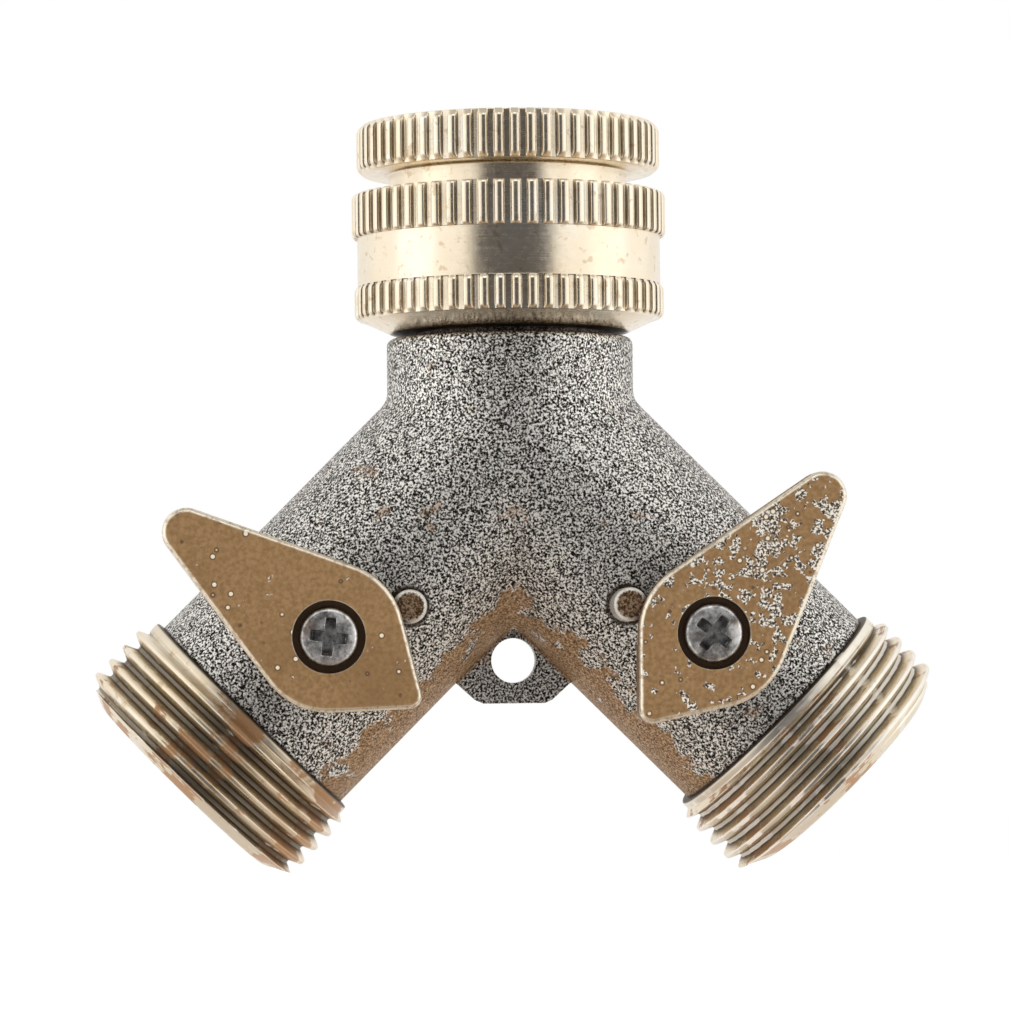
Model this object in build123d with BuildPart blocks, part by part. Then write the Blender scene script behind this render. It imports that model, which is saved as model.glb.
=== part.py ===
from build123d import *
import os
from math import cos, radians, sin, sqrt, tan

os.makedirs("parts", exist_ok=True)

# ---------------------------------------------------------------- dimensions
# Two-way hose splitter. Millimetres. The origin is the centre of the inlet
# mouth, +Z points out of the mouth, +X to the right outlet, -Y to the levers.
INLET_RISE = 31.0        # inlet mouth above the point where the leg axes meet
LEG_ANGLE = 45.0         # each leg from straight down

# standard pipe threads, 14 turns to the inch
PITCH = 1.814
CREST_HALF = 0.15        # half of the flat on a thread crest
HALF_FLANK = 27.5        # half of the 55 degree thread form
G34_MAJOR_R = 13.22      # 3/4 inch pipe thread
G34_MINOR_R = 12.06
G12_MAJOR_R = 10.48      # 1/2 inch pipe thread
G12_MINOR_R = 9.32

# heights above the crossing point of the leg axes
NECK_R = 11.68
NECK_TOP = 10.7
NECK_ROUND = 0.7
SEAM_ROUND = 2.0
SPIGOT_R = 8.75
SPIGOT_TOP = 15.0
GROOVE_R = 7.9
GROOVE_LOW = 13.3
GROOVE_HIGH = 14.4
NECK_BORE_R = 6.0

NUT_LOW = 11.2
NUT_TOP = 24.4
NUT_LIP_R = 8.85
NUT_LIP_TOP = 13.2
NUT_CAVITY_R = 12.25
NUT_LOW_BAND_R = 14.7
NUT_PLAIN_R = 14.4
NUT_TOP_BAND_R = 14.9
KNURL_COUNT = 60
KNURL_GAP = 0.72         # width of one knurl groove

FLANGE_R = 14.4
FLANGE_LOW = 26.4
RELIEF_R = 11.3
ADAPTER_LOW = 17.5
ADAPTER_FLOOR = 19.5
ADAPTER_BORE_R = 6.0

# distances along a leg from the crossing point
LEG_R = NECK_R          # equal tubes meet in flat ellipses
LEG_END = 35.0
PASSAGE_R = 5.0
STEM_AT = 24.7
POCKET_FROM = 17.9
POCKET_TO = 21.3
POCKET_R = 8.05
CHAMBER_R = 8.3
SOCKET_FROM = 29.3
SOCKET_R = 9.6
NIPPLE_R = 9.55
NIPPLE_END = 44.25
NIPPLE_BORE_R = 6.3
COLLAR_R = 12.4
FIRST_CREST = 36.7

# ball valve, radii about the stem axis and depths towards the levers (-Y)
BALL_R = 7.4
PORT_R = 4.3
SEAT_BORE_R = 4.9
SEAT_R = 8.0
SEAT_FACE_R = 7.5
TURRET_R = 5.8
TURRET_TOP = 14.0
STEM_R = 2.95
STEM_BORE_R = 3.0
SHOULDER_R = 4.0
SHOULDER_BORE_R = 4.1
RING_FLOOR_R = 1.9
DRIVE = 4.1

# levers: three circles on the lever's long axis give the outline
LEVER_LOW = 14.3
LEVER_TOP = 17.5
TIP_AT, TIP_R = 16.0, 2.2
WAIST_R = 6.85
HEEL_AT, HEEL_R = 9.0, 1.2
LEVER_FLOOR = 15.9
HEAD_POCKET_R = 3.3
TRACK_IN, TRACK_OUT = 6.2, 9.6
TRACK_FROM, TRACK_TO = 13.0, 137.5
LEFT_TIP_ANGLE = 143.1   # degrees from +X towards +Z, as the levers lie
RIGHT_TIP_ANGLE = 50.8
PEG_AT = 7.9
PEG_R = 1.55
PEG_TOP = 15.6
LEFT_PEG_ANGLE = 20.0
RIGHT_PEG_ANGLE = 160.0

HEAD_R = 2.65
SCREW_R = 1.22

# web in the crotch, heights from the crossing point
WEB_HALF = 1.5
WEB_LOW = -23.9
HANG_AT = -19.87
HANG_R = 2.13


# ---------------------------------------------------------------- helpers
def leg_plane(side):
    """Plane through a leg: local x along the leg, local y is its radius."""
    return Plane(origin=(0, 0, -INLET_RISE), x_dir=(side, 0, -1), z_dir=(0, -1, 0))


def leg_axis(side):
    return Axis((0, 0, -INLET_RISE), (side, 0, -1))


def stem_point(side, y=0.0):
    return (side * STEM_AT * sin(radians(LEG_ANGLE)), y,
            -INLET_RISE - STEM_AT * cos(radians(LEG_ANGLE)))


def stem_axis(side):
    return Axis(stem_point(side), (0, -1, 0))


def front_plane(side, depth, angle=0.0):
    """Plane across a stem axis, depth towards the levers, x along angle."""
    return Plane(origin=stem_point(side, -depth),
                 x_dir=(cos(radians(angle)), 0, sin(radians(angle))),
                 z_dir=(0, -1, 0))


def stem_section(side):
    """Plane through a stem axis: local x is the radius, local y is -depth."""
    return Plane(origin=stem_point(side), x_dir=(1, 0, 0), z_dir=(0, 0, 1))


def outline(points):
    """Straight-sided face, given by its corners, in the open sketch."""
    Polygon(*points, align=None)


def up(points):
    """Turns (radius, height above the crossing point) into sketch points."""
    return [(r, h - INLET_RISE) for r, h in points]


def ridges(first, count, root, crest, step=PITCH):
    """(position, radius) corners of ring ridges with flat crests."""
    flank = abs(crest - root) * tan(radians(HALF_FLANK))
    sign = 1 if step > 0 else -1
    corners = []
    for i in range(count):
        c = first + i * step
        corners += [(c - sign * (CREST_HALF + flank), root), (c - sign * CREST_HALF, crest),
                    (c + sign * CREST_HALF, crest), (c + sign * (CREST_HALF + flank), root)]
    return corners


# ---------------------------------------------------------------- body
with BuildPart() as valve_body:
    # neck and its collar
    with BuildSketch(Plane.XZ):
        outline(up([(0, 0), (NECK_R, 0), (NECK_R, NECK_TOP), (0, NECK_TOP)]))
    revolve(axis=Axis.Z)
    # the two legs
    for side in (-1, 1):
        with BuildSketch(leg_plane(side)):
            outline([(0, 0), (LEG_END, 0), (LEG_END, LEG_R), (0, LEG_R)])
        revolve(axis=leg_axis(side))
    fillet(valve_body.edges().filter_by(GeomType.CIRCLE).sort_by(Axis.Z)[-1], NECK_ROUND)
    # soft cast corners where the three tubes meet
    seams = valve_body.edges().filter_by(lambda e: e.geom_type not in (GeomType.CIRCLE, GeomType.LINE))
    fillet(seams, SEAM_ROUND)
    # spigot that the nut turns on, with its snap ring groove
    with BuildSketch(Plane.XZ):
        outline(up([(0, NECK_TOP - 1), (SPIGOT_R, NECK_TOP - 1), (SPIGOT_R, GROOVE_LOW),
                    (GROOVE_R, GROOVE_LOW), (GROOVE_R, GROOVE_HIGH), (SPIGOT_R, GROOVE_HIGH),
                    (SPIGOT_R, SPIGOT_TOP - 0.2), (SPIGOT_R - 0.2, SPIGOT_TOP), (0, SPIGOT_TOP)]))
    revolve(axis=Axis.Z)
    # stem turrets and stop pegs
    for side, peg_angle in ((-1, LEFT_PEG_ANGLE), (1, RIGHT_PEG_ANGLE)):
        with BuildSketch(front_plane(side, 0)):
            Circle(TURRET_R)
        extrude(amount=TURRET_TOP)
        with BuildSketch(front_plane(side, 6.0, peg_angle)):
            with Locations((PEG_AT, 0)):
                Circle(PEG_R)
        extrude(amount=PEG_TOP - 6.0)
        fillet(valve_body.faces().sort_by(Axis.Y)[0].edges(), 0.35)
    # web across the crotch
    with BuildSketch(Plane.XZ):
        outline(up([(-2.9, WEB_LOW), (2.9, WEB_LOW), (3.6, WEB_LOW + 0.3), (5.2, WEB_LOW + 1.75),
                    (7.2, -20.6), (7.2, -14.0), (-7.2, -14.0), (-7.2, -20.6),
                    (-5.2, WEB_LOW + 1.75), (-3.6, WEB_LOW + 0.3)]))
    extrude(amount=WEB_HALF, both=True)
    # water ways
    with BuildSketch(Plane.XZ):
        outline(up([(0, 0), (NECK_BORE_R, 0), (NECK_BORE_R, SPIGOT_TOP - 0.4),
                    (NECK_BORE_R + 0.5, SPIGOT_TOP + 1), (0, SPIGOT_TOP + 1)]))
    revolve(axis=Axis.Z, mode=Mode.SUBTRACT)
    with Locations((0, 0, -INLET_RISE)):
        Sphere(NECK_BORE_R, mode=Mode.SUBTRACT)
    for side in (-1, 1):
        with BuildSketch(leg_plane(side)):
            outline([(0, 0), (LEG_END + 1, 0), (LEG_END + 1, SOCKET_R), (SOCKET_FROM, SOCKET_R),
                     (SOCKET_FROM, CHAMBER_R), (POCKET_TO, CHAMBER_R), (POCKET_TO, POCKET_R),
                     (POCKET_FROM, POCKET_R), (POCKET_FROM, PASSAGE_R), (0, PASSAGE_R)])
        revolve(axis=leg_axis(side), mode=Mode.SUBTRACT)
        with BuildSketch(stem_section(side)):
            outline([(0, 0), (SHOULDER_BORE_R, 0), (SHOULDER_BORE_R, -9.8), (STEM_BORE_R, -9.8),
                     (STEM_BORE_R, -TURRET_TOP - 1), (0, -TURRET_TOP - 1)])
        revolve(axis=stem_axis(side), mode=Mode.SUBTRACT)
    # hanging hole
    with BuildSketch(Plane.XZ):
        with Locations((0, HANG_AT - INLET_RISE)):
            Circle(HANG_R)
    extrude(amount=WEB_HALF + 1, both=True, mode=Mode.SUBTRACT)
valve_body.part.label = "valve_body"
export_step(valve_body.part, "parts/valve_body.step")

# ---------------------------------------------------------------- swivel nut
with BuildPart() as swivel_nut:
    female = [(r, h) for h, r in ridges(18.6 + 2.5 * PITCH, 3, G34_MAJOR_R + 0.04,
                                        G34_MINOR_R + 0.06, -PITCH)]
    with BuildSketch(Plane.XZ):
        outline(up([(NUT_LIP_R, NUT_LOW), (11.4, NUT_LOW), (14.05, 12.45), (14.4, 12.45),
                    (NUT_LOW_BAND_R, 12.8), (NUT_LOW_BAND_R, 15.4), (NUT_PLAIN_R, 15.75),
                    (NUT_PLAIN_R, 20.25), (14.65, 20.25), (NUT_TOP_BAND_R, 20.5),
                    (NUT_TOP_BAND_R, NUT_TOP - 0.35), (14.55, NUT_TOP), (13.5, NUT_TOP),
                    (G34_MAJOR_R + 0.04, NUT_TOP - 0.3)] + female +
                   [(G34_MAJOR_R + 0.04, 17.9), (NUT_CAVITY_R, 17.3),
                    (NUT_CAVITY_R, NUT_LIP_TOP), (NUT_LIP_R, NUT_LIP_TOP)]))
    revolve(axis=Axis.Z)
    # straight knurl grooves of the two grip bands
    for low, high, band_r, deep in ((12.45, 15.75, NUT_LOW_BAND_R, 0.45),
                                    (20.25, NUT_TOP, NUT_TOP_BAND_R, 0.5)):
        with BuildSketch(Plane.XY.offset(low - INLET_RISE)):
            with PolarLocations(band_r + 1 - deep, KNURL_COUNT):
                Rectangle(2.0, KNURL_GAP)
        extrude(amount=high - low, mode=Mode.SUBTRACT)
swivel_nut.part.label = "swivel_nut"
export_step(swivel_nut.part, "parts/swivel_nut.step")

# ---------------------------------------------------------------- inlet bush
with BuildPart() as inlet_adapter:
    male = [(r, h) for h, r in ridges(18.6, 3, G34_MINOR_R - 0.06, G34_MAJOR_R - 0.07)]
    inside = [(r, h) for h, r in ridges(INLET_RISE - 0.5 - CREST_HALF, 5, G12_MAJOR_R,
                                        G12_MINOR_R, -PITCH)][1:]
    with BuildSketch(Plane.XZ):
        outline(up([(ADAPTER_BORE_R, ADAPTER_LOW), (11.6, ADAPTER_LOW),
                    (G34_MINOR_R - 0.06, ADAPTER_LOW + 0.3)] + male +
                   [(G34_MINOR_R - 0.06, 23.7), (RELIEF_R, 24.3), (RELIEF_R, FLANGE_LOW),
                    (FLANGE_R - 0.55, FLANGE_LOW), (FLANGE_R, FLANGE_LOW + 0.55),
                    (FLANGE_R, INLET_RISE - 0.55), (FLANGE_R - 0.55, INLET_RISE),
                    (G12_MINOR_R + 0.5, INLET_RISE)] + inside +
                   [(G12_MAJOR_R, ADAPTER_FLOOR), (ADAPTER_BORE_R, ADAPTER_FLOOR)]))
    revolve(axis=Axis.Z)
    with BuildSketch(Plane.XY.offset(FLANGE_LOW - INLET_RISE)):
        with PolarLocations(FLANGE_R + 1 - 0.5, KNURL_COUNT):
            Rectangle(2.0, KNURL_GAP)
    extrude(amount=INLET_RISE - FLANGE_LOW, mode=Mode.SUBTRACT)
inlet_adapter.part.label = "inlet_adapter"
export_step(inlet_adapter.part, "parts/inlet_adapter.step")

# ---------------------------------------------------------------- swivel seals
with BuildPart() as inlet_washer:
    with BuildSketch(Plane.XZ):
        outline(up([(ADAPTER_BORE_R, ADAPTER_FLOOR), (9.6, ADAPTER_FLOOR),
                    (9.6, ADAPTER_FLOOR + 2.0), (ADAPTER_BORE_R, ADAPTER_FLOOR + 2.0)]))
    revolve(axis=Axis.Z)
inlet_washer.part.label = "inlet_washer"
export_step(inlet_washer.part, "parts/inlet_washer.step")

with BuildPart() as swivel_washer:
    with BuildSketch(Plane.XZ):
        outline(up([(6.6, SPIGOT_TOP + 0.08), (12.0, SPIGOT_TOP + 0.08),
                    (12.0, ADAPTER_LOW), (6.6, ADAPTER_LOW)]))
    revolve(axis=Axis.Z)
swivel_washer.part.label = "swivel_washer"
export_step(swivel_washer.part, "parts/swivel_washer.step")

with BuildPart() as swivel_snap_ring:
    with BuildSketch(Plane.XZ):
        outline(up([(GROOVE_R + 0.05, GROOVE_LOW + 0.05), (10.2, GROOVE_LOW + 0.05),
                    (10.2, GROOVE_HIGH - 0.1), (GROOVE_R + 0.05, GROOVE_HIGH - 0.1)]))
    revolve(axis=Axis.Z)
    # the split that lets the ring open over the spigot
    with Locations((0, 9.2, GROOVE_LOW - INLET_RISE + 0.5)):
        Box(5.0, 6.0, 3.0, mode=Mode.SUBTRACT)
swivel_snap_ring.part.label = "swivel_snap_ring"
export_step(swivel_snap_ring.part, "parts/swivel_snap_ring.step")


# ---------------------------------------------------------------- one outlet
def make_nipple(side, name):
    """Male threaded outlet screwed into the end of a leg."""
    with BuildPart() as nipple:
        with BuildSketch(leg_plane(side)):
            outline([(SOCKET_FROM, POCKET_R), (SOCKET_FROM, NIPPLE_R), (LEG_END, NIPPLE_R),
                     (LEG_END, COLLAR_R), (35.8, COLLAR_R),
                     (FIRST_CREST - CREST_HALF - 0.35, G34_MAJOR_R - 0.3)] +
                    ridges(FIRST_CREST, 4, G34_MINOR_R, G34_MAJOR_R)[1:] +
                    [(43.2, G34_MINOR_R), (43.45, 12.3), (NIPPLE_END, 10.8),
                     (NIPPLE_END, NIPPLE_BORE_R + 0.5), (NIPPLE_END - 0.5, NIPPLE_BORE_R),
                     (31.5, NIPPLE_BORE_R), (31.5, POCKET_R)])
        revolve(axis=leg_axis(side))
    nipple.part.label = name
    export_step(nipple.part, "parts/" + name + ".step")


def make_seat(side, name, start, end):
    """Ring seat with a ball-shaped face."""
    with BuildPart() as seat:
        with BuildSketch(leg_plane(side)):
            outline([(start, SEAT_BORE_R), (end, SEAT_BORE_R), (end, SEAT_R), (start, SEAT_R)])
        revolve(axis=leg_axis(side))
        with Locations(stem_point(side)):
            Sphere(SEAT_FACE_R, mode=Mode.SUBTRACT)
    seat.part.label = name
    export_step(seat.part, "parts/" + name + ".step")


def make_ball(side, name, angle):
    """Valve ball: its port lies along the lever, its slot across the port."""
    with BuildPart() as ball:
        with Locations(stem_point(side)):
            Sphere(BALL_R)
        port = Plane(origin=stem_point(side), x_dir=(0, 1, 0),
                     z_dir=(cos(radians(angle)), 0, sin(radians(angle))))
        with BuildSketch(port):
            Circle(PORT_R)
        extrude(amount=BALL_R + 1, both=True, mode=Mode.SUBTRACT)
        with BuildSketch(front_plane(side, 5.5, angle)):
            Rectangle(3.0, 20.0)
        extrude(amount=3.0, mode=Mode.SUBTRACT)
    ball.part.label = name
    export_step(ball.part, "parts/" + name + ".step")


def make_stem(side, name, angle):
    """Stem: tongue, shoulder, two ring grooves and a square drive."""
    with BuildPart() as stem:
        with BuildSketch(stem_section(side)):
            outline([(0, -8.15), (SHOULDER_R, -8.15), (SHOULDER_R, -9.3), (STEM_R, -9.3),
                     (STEM_R, -10.15), (RING_FLOOR_R, -10.15), (RING_FLOOR_R, -11.45),
                     (STEM_R, -11.45), (STEM_R, -12.05), (RING_FLOOR_R, -12.05),
                     (RING_FLOOR_R, -13.35), (STEM_R, -13.35), (STEM_R, -14.1), (0, -14.1)])
        revolve(axis=stem_axis(side))
        with BuildSketch(front_plane(side, 14.0, angle)):
            Rectangle(DRIVE, DRIVE)
        extrude(amount=1.8)
        with BuildSketch(front_plane(side, 5.6, angle)):
            Rectangle(2.8, 6.4)
        extrude(amount=2.7)
        with BuildSketch(front_plane(side, 11.0)):
            Circle(1.25)
        extrude(amount=6.0, mode=Mode.SUBTRACT)
    stem.part.label = name
    export_step(stem.part, "parts/" + name + ".step")


def make_stem_orings(side, name):
    """Two O-rings in the stem's grooves."""
    with BuildPart() as orings:
        for depth in (10.8, 12.7):
            with BuildSketch(stem_section(side)):
                with Locations((2.43, -depth)):
                    Circle(0.52)
            revolve(axis=stem_axis(side))
    orings.part.label = name
    export_step(orings.part, "parts/" + name + ".step")


def make_thrust_washer(side, name):
    """Plastic washer between the stem's shoulder and the body."""
    with BuildPart() as washer:
        with BuildSketch(stem_section(side)):
            outline([(3.1, -9.35), (3.95, -9.35), (3.95, -9.78), (3.1, -9.78)])
        revolve(axis=stem_axis(side))
    washer.part.label = name
    export_step(washer.part, "parts/" + name + ".step")


def make_lever(side, name, angle):
    """Flat lever: hull of three circles, with a pocket for the screw head."""
    with BuildPart() as lever:
        with BuildSketch(front_plane(side, LEVER_LOW, angle)):
            Circle(WAIST_R)
            with Locations((TIP_AT, 0)):
                Circle(TIP_R)
            with Locations((-HEEL_AT, 0)):
                Circle(HEEL_R)
            make_hull()
        extrude(amount=LEVER_TOP - LEVER_LOW)
        fillet(lever.faces().sort_by(Axis.Y)[0].edges(), 0.55)
        fillet(lever.faces().sort_by(Axis.Y)[-1].edges(), 0.25)
        # tracks for the stop peg, one for each hand
        for a in (TRACK_FROM, -TRACK_TO):
            with BuildSketch(front_plane(side, LEVER_LOW - 1.0, angle)):
                with BuildLine():
                    CenterArc((0, 0), TRACK_OUT, a, TRACK_TO - TRACK_FROM)
                    CenterArc((0, 0), TRACK_IN, a, TRACK_TO - TRACK_FROM)
                    for b in (a, a + TRACK_TO - TRACK_FROM):
                        Line((TRACK_IN * cos(radians(b)), TRACK_IN * sin(radians(b))),
                             (TRACK_OUT * cos(radians(b)), TRACK_OUT * sin(radians(b))))
                make_face()
            extrude(amount=LEVER_FLOOR - LEVER_LOW + 1.0, mode=Mode.SUBTRACT)
        with BuildSketch(front_plane(side, LEVER_FLOOR, angle)):
            Circle(HEAD_POCKET_R)
        extrude(amount=3.0, mode=Mode.SUBTRACT)
        with BuildSketch(front_plane(side, LEVER_LOW - 0.5, angle)):
            Rectangle(DRIVE + 0.1, DRIVE + 0.1)
        extrude(amount=3.0, mode=Mode.SUBTRACT)
    lever.part.label = name
    export_step(lever.part, "parts/" + name + ".step")


def make_lever_screw(side, name, angle):
    """Pan head screw with a cross recess."""
    with BuildPart() as screw:
        with BuildSketch(stem_section(side)):
            with BuildLine():
                Polyline((0, -11.3), (SCREW_R, -11.5), (SCREW_R, -LEVER_FLOOR),
                         (HEAD_R, -LEVER_FLOOR), (HEAD_R, -16.9))
                ThreePointArc((HEAD_R, -16.9), (HEAD_R * 0.78, -17.45), (0, -17.8))
                Line((0, -17.8), (0, -11.3))
            make_face()
        revolve(axis=stem_axis(side))
        with BuildSketch(front_plane(side, 16.5, angle)):
            Rectangle(3.4, 0.95)
            Rectangle(0.95, 3.4)
        extrude(amount=2.0, mode=Mode.SUBTRACT)
    screw.part.label = name
    export_step(screw.part, "parts/" + name + ".step")


for side, hand, tip_angle, screw_angle in ((-1, "left", LEFT_TIP_ANGLE, 82.0),
                                           (1, "right", RIGHT_TIP_ANGLE, 52.0)):
    make_nipple(side, hand + "_outlet_nipple")
    make_seat(side, hand + "_inner_seat", POCKET_FROM + 0.05, POCKET_TO - 0.05)
    make_seat(side, hand + "_outer_seat", 2 * STEM_AT - POCKET_TO + 0.05,
              2 * STEM_AT - POCKET_FROM - 0.05)
    make_ball(side, hand + "_ball", tip_angle)
    make_stem(side, hand + "_stem", tip_angle)
    make_stem_orings(side, hand + "_stem_orings")
    make_thrust_washer(side, hand + "_thrust_washer")
    make_lever(side, hand + "_lever", tip_angle)
    make_lever_screw(side, hand + "_lever_screw", screw_angle)
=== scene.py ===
import math
import bpy
import bmesh
from mathutils import Matrix, Vector


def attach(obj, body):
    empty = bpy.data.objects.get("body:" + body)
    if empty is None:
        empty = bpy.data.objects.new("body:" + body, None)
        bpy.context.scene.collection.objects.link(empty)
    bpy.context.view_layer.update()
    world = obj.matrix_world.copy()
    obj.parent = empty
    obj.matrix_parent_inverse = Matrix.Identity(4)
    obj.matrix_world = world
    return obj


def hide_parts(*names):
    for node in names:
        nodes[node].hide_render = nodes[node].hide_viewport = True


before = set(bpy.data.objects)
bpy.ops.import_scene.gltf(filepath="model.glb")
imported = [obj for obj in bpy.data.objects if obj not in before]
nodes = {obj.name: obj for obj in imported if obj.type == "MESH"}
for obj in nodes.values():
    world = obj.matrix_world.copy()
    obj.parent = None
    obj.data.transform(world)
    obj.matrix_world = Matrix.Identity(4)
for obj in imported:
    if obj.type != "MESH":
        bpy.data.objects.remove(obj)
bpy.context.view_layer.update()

MM = 0.001
RISE = 31.0                       # inlet mouth above the crossing of the leg axes, mm


# ------------------------------------------------------------------ meshes
def new_piece(name, verts, faces, body, replaces, mat, smooth=True, sharp=None):
    me = bpy.data.meshes.new(name)
    me.from_pydata([tuple(v) for v in verts], [], faces)
    me.validate()
    bm = bmesh.new()
    bm.from_mesh(me)
    bmesh.ops.remove_doubles(bm, verts=bm.verts, dist=1e-7)
    bmesh.ops.recalc_face_normals(bm, faces=bm.faces)
    bm.to_mesh(me)
    bm.free()
    if smooth:
        for p in me.polygons:
            p.use_smooth = True
        if sharp is not None:
            me.set_sharp_from_angle(angle=math.radians(sharp))
    ob = bpy.data.objects.new(name, me)
    bpy.context.scene.collection.objects.link(ob)
    me.materials.append(mat)
    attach(ob, body)
    if replaces:
        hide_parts(*replaces)
    return ob


def frame_of(origin, axis, ref):
    """Maps (t along axis, radius, angle) to row metres. Angles turn right-handed about the axis."""
    w = Vector(axis).normalized()
    e1 = Vector(ref)
    e1 = (e1 - w * e1.dot(w)).normalized()
    e2 = w.cross(e1)
    o = Vector(origin)

    def at(t, r, a):
        return (o + w * t + e1 * (r * math.cos(a)) + e2 * (r * math.sin(a))) * MM
    return at


def lathe(at, loop, angles, radius=None):
    """Closed ring of quads. loop is a closed list of (t, r, tag); radius(t, r, tag, angle) may change r."""
    verts, faces = [], []
    n, m = len(loop), len(angles)
    for (t, r, tag) in loop:
        for a in angles:
            rr = radius(t, r, tag, a) if (radius and tag) else r
            verts.append(at(t, rr, a))
    for i in range(n):
        j = (i + 1) % n
        for k in range(m):
            l = (k + 1) % m
            faces.append((i * m + k, i * m + l, j * m + l, j * m + k))
    return verts, faces


def lerp(a, b, f):
    return a + (b - a) * f


def ramp(x, a, b):
    if a == b:
        return 0.0 if x < a else 1.0
    return min(1.0, max(0.0, (x - a) / (b - a)))


def soft(x):
    return x * x * (3 - 2 * x)


def arc(cx, cy, r, a0, a1, n, tag=None):
    """Points (t, r) on a rounded corner, angles in degrees."""
    out = []
    for i in range(n + 1):
        a = math.radians(lerp(a0, a1, i / n))
        out.append((cx + r * math.cos(a), cy + r * math.sin(a), tag))
    return out


def span(t0, r0, t1, r1, n, tag=None):
    return [(lerp(t0, t1, i / n), lerp(r0, r1, i / n), tag) for i in range(n + 1)]


PITCH = 1.814
C45 = math.sqrt(0.5)


def tooth(phase, flat=0.17):
    """Rounded 55 degree thread form: 1 at a crest (phase 0), 0 at a root."""
    x = abs((phase % 1.0) - 0.5) * 2
    lin = ramp(x, flat, 1 - flat)
    return lerp(lin, soft(lin), 0.55)


# ------------------------------------------------------------------ materials
class Graph:
    def __init__(self, name):
        self.mat = bpy.data.materials.new(name)
        self.mat.use_nodes = True
        self.nt = self.mat.node_tree
        self.nt.nodes.clear()
        self.out = self.nt.nodes.new("ShaderNodeOutputMaterial")
        self.bsdf = self.nt.nodes.new("ShaderNodeBsdfPrincipled")
        self.nt.links.new(self.bsdf.outputs[0], self.out.inputs[0])
        self.tc = self.nt.nodes.new("ShaderNodeTexCoord")
        self.obj = self.tc.outputs["Object"]

    def link(self, a, b):
        self.nt.links.new(a, b)

    def mapping(self, vec, scale=(1, 1, 1), loc=(0, 0, 0), rot=(0, 0, 0)):
        n = self.nt.nodes.new("ShaderNodeMapping")
        n.inputs["Scale"].default_value = scale
        n.inputs["Location"].default_value = loc
        n.inputs["Rotation"].default_value = rot
        self.link(vec, n.inputs["Vector"])
        return n.outputs[0]

    def noise(self, vec, scale, detail=2.0, rough=0.5, dist=0.0, lac=2.0):
        n = self.nt.nodes.new("ShaderNodeTexNoise")
        n.inputs["Scale"].default_value = scale
        n.inputs["Detail"].default_value = detail
        n.inputs["Roughness"].default_value = rough
        n.inputs["Distortion"].default_value = dist
        n.inputs["Lacunarity"].default_value = lac
        self.link(vec, n.inputs["Vector"])
        return n.outputs["Fac"]

    def voronoi(self, vec, scale, feature="F1", rand=1.0):
        n = self.nt.nodes.new("ShaderNodeTexVoronoi")
        n.feature = feature
        n.inputs["Scale"].default_value = scale
        n.inputs["Randomness"].default_value = rand
        self.link(vec, n.inputs["Vector"])
        return n.outputs["Distance"]

    def ramp(self, fac, stops, mode="LINEAR"):
        n = self.nt.nodes.new("ShaderNodeValToRGB")
        n.color_ramp.interpolation = mode
        els = n.color_ramp.elements
        while len(els) < len(stops):
            els.new(0.5)
        for e, (p, c) in zip(els, stops):
            e.position = p
            e.color = (c[0], c[1], c[2], 1) if not isinstance(c, (int, float)) else (c, c, c, 1)
        self.link(fac, n.inputs[0])
        return n.outputs[0]

    def mix(self, a, b, fac, blend="MIX"):
        n = self.nt.nodes.new("ShaderNodeMix")
        n.data_type = "RGBA"
        n.blend_type = blend
        n.clamp_factor = True
        for s, v in ((n.inputs[6], a), (n.inputs[7], b)):
            if isinstance(v, tuple):
                s.default_value = (v[0], v[1], v[2], 1)
            else:
                self.link(v, s)
        if isinstance(fac, (int, float)):
            n.inputs[0].default_value = fac
        else:
            self.link(fac, n.inputs[0])
        return n.outputs[2]

    def math(self, op, a, b=None, c=None, clamp=False):
        n = self.nt.nodes.new("ShaderNodeMath")
        n.operation = op
        n.use_clamp = clamp
        for i, v in enumerate((a, b, c)):
            if v is None:
                continue
            if isinstance(v, (int, float)):
                n.inputs[i].default_value = v
            else:
                self.link(v, n.inputs[i])
        return n.outputs[0]

    def mapr(self, v, a0, a1, b0, b1, smooth=False):
        n = self.nt.nodes.new("ShaderNodeMapRange")
        n.interpolation_type = "SMOOTHSTEP" if smooth else "LINEAR"
        n.inputs["From Min"].default_value = a0
        n.inputs["From Max"].default_value = a1
        n.inputs["To Min"].default_value = b0
        n.inputs["To Max"].default_value = b1
        self.link(v, n.inputs["Value"])
        return n.outputs[0]

    def sep(self, vec):
        n = self.nt.nodes.new("ShaderNodeSeparateXYZ")
        self.link(vec, n.inputs[0])
        return n.outputs

    def comb(self, x, y, z):
        n = self.nt.nodes.new("ShaderNodeCombineXYZ")
        for i, v in enumerate((x, y, z)):
            if isinstance(v, (int, float)):
                n.inputs[i].default_value = v
            else:
                self.link(v, n.inputs[i])
        return n.outputs[0]

    def bump(self, height, strength, dist, normal=None):
        n = self.nt.nodes.new("ShaderNodeBump")
        n.inputs["Strength"].default_value = strength
        n.inputs["Distance"].default_value = dist
        self.link(height, n.inputs["Height"])
        if normal is not None:
            self.link(normal, n.inputs["Normal"])
        return n.outputs[0]

    def pointiness(self):
        n = self.nt.nodes.new("ShaderNodeNewGeometry")
        return n.outputs["Pointiness"]

    def ao(self, dist, samples=8, inside=False):
        n = self.nt.nodes.new("ShaderNodeAmbientOcclusion")
        n.samples = samples
        n.inside = inside
        n.only_local = False
        n.inputs["Distance"].default_value = dist
        return n.outputs["AO"]

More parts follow.
